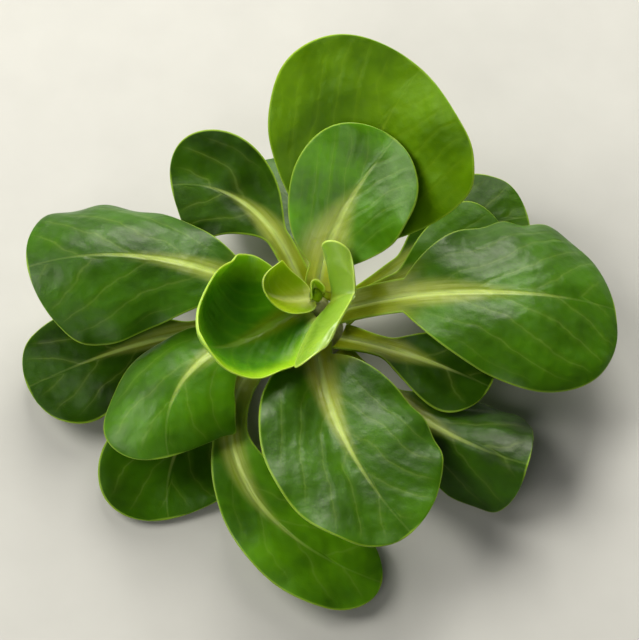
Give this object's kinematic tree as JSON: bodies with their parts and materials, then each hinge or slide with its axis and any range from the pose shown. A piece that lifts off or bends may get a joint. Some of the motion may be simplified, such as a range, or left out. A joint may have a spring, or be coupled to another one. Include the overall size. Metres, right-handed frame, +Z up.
{
  "type": "lamb's lettuce rosette",
  "caption": "Open rosette of spoon-shaped salad leaves with pale channelled stalks round a cupped heart, standing on its short cut crown",
  "frame": {"origin": "centre of the cut root face the rosette stands on, on the surface", "axes": "+Z up through the crown; +X to the right in the picture; +Y away from the picture's viewer"},
  "size_m": [0.1156, 0.1028, 0.0444],
  "materials": {
    "crown": "moist cream-green stem flesh with a brown-edged cut",
    "heart_leaf": "bright young leaf, soft sheen",
    "inner_leaf": "fresh leaf with satin sheen and pale midrib",
    "middle_leaf": "fresh leaf with satin sheen and pale midrib",
    "outer_leaf": "older, darker leaf with satin sheen and pale midrib"
  },
  "bodies": {
    "root": {"crown": "crown", "heart_leaves": "heart_leaf", "leaf_cup_left": "inner_leaf", "leaf_cup_right": "inner_leaf", "leaf_upper_round": "inner_leaf", "leaf_front_round": "inner_leaf", "leaf_left": "middle_leaf", "leaf_right": "middle_leaf", "leaf_rear_broad": "middle_leaf", "leaf_front_left": "middle_leaf", "leaf_rear_left": "middle_leaf", "leaf_right_rear": "middle_leaf", "leaf_right_lower": "middle_leaf", "leaf_front_long": "outer_leaf", "leaf_front_right_folded": "outer_leaf", "leaf_left_low": "outer_leaf", "leaf_front_left_low": "outer_leaf", "leaf_right_rear_low": "outer_leaf", "leaf_rear_low": "outer_leaf"}
  },
  "joints": []
}
